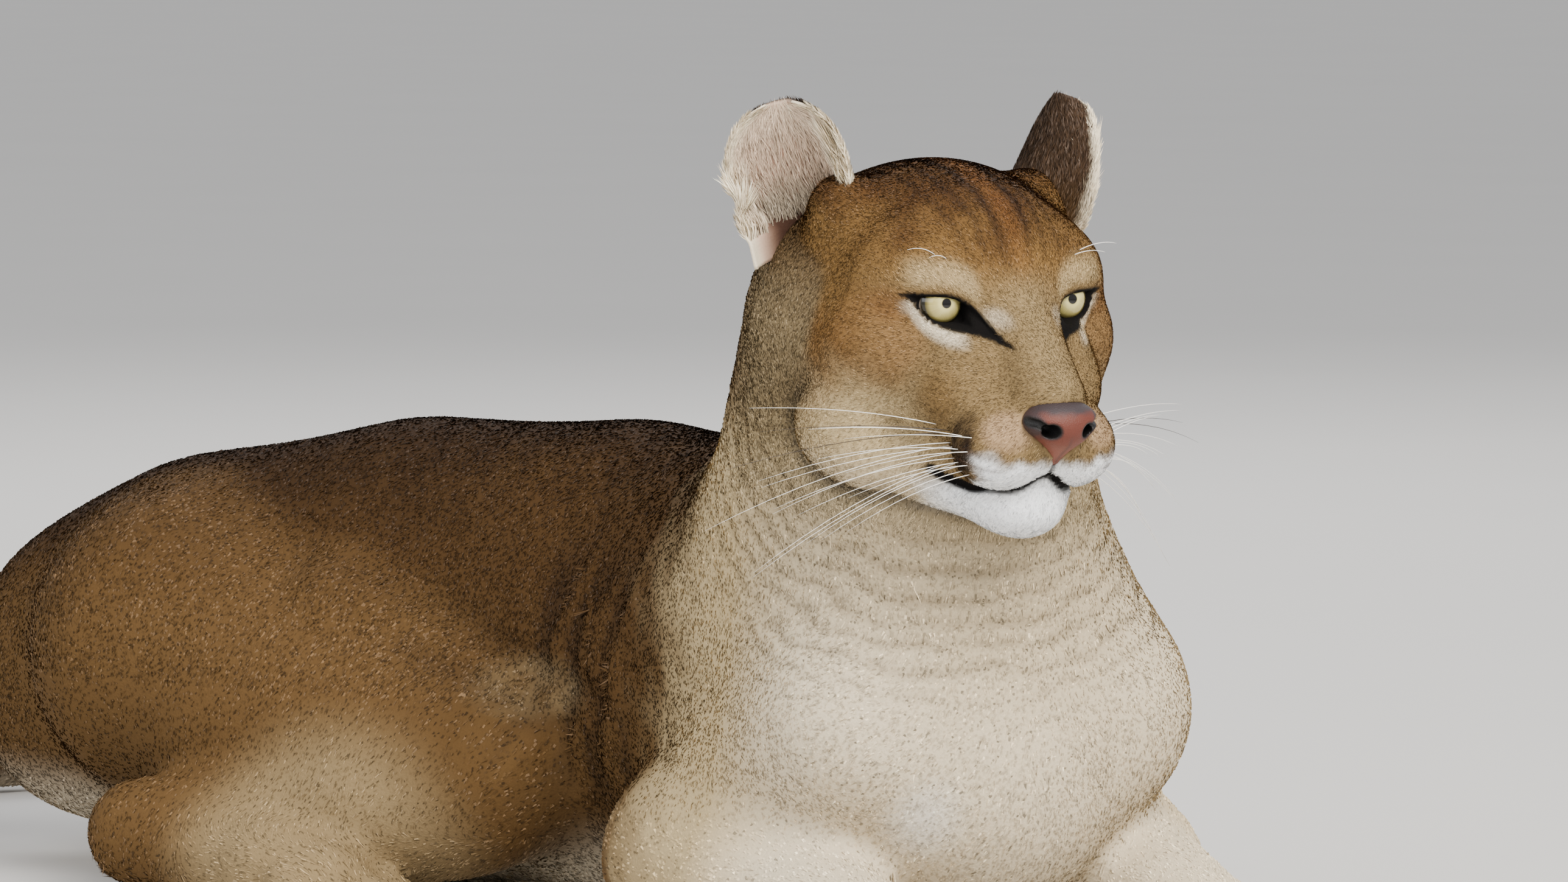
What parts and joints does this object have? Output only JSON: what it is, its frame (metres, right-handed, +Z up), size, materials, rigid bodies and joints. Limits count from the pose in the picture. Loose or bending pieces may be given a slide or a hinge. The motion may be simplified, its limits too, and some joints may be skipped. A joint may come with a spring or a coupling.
{
  "type": "lying cougar with raised head",
  "caption": "Adult cougar resting on its chest and belly, head raised and turned, forelegs forward, tail curled on the floor.",
  "frame": {"origin": "on the floor under the middle of the trunk, where the belly rests", "axes": "+X forward along the body from rump to breast, +Y to the animal's left, +Z up"},
  "size_m": [1.251, 0.5599, 0.4839],
  "materials": {
    "coat": "short tawny fur, matte",
    "throat_fur": "pale buff fur, matte",
    "ear_fur": "dark brown fur outside, pale hair inside, matte",
    "nose_skin": "moist bare skin, satin",
    "eye": "wet and glossy, round black pupil"
  },
  "bodies": {
    "root": {"head": "coat", "nose": "nose_skin", "eye_right": "eye", "ear_right": "ear_fur", "eye_left": "eye", "ear_left": "ear_fur", "neck": "throat_fur", "chest": "coat", "hindquarters": "coat", "foreleg_right": "coat", "forepaw_right": "coat", "thigh_right": "coat", "shank_right": "coat", "hindpaw_right": "coat", "foreleg_left": "coat", "forepaw_left": "coat", "thigh_left": "coat", "shank_left": "coat", "hindpaw_left": "coat", "tail_base": "coat", "tail_middle": "coat", "tail_tip": "coat"}
  },
  "joints": []
}
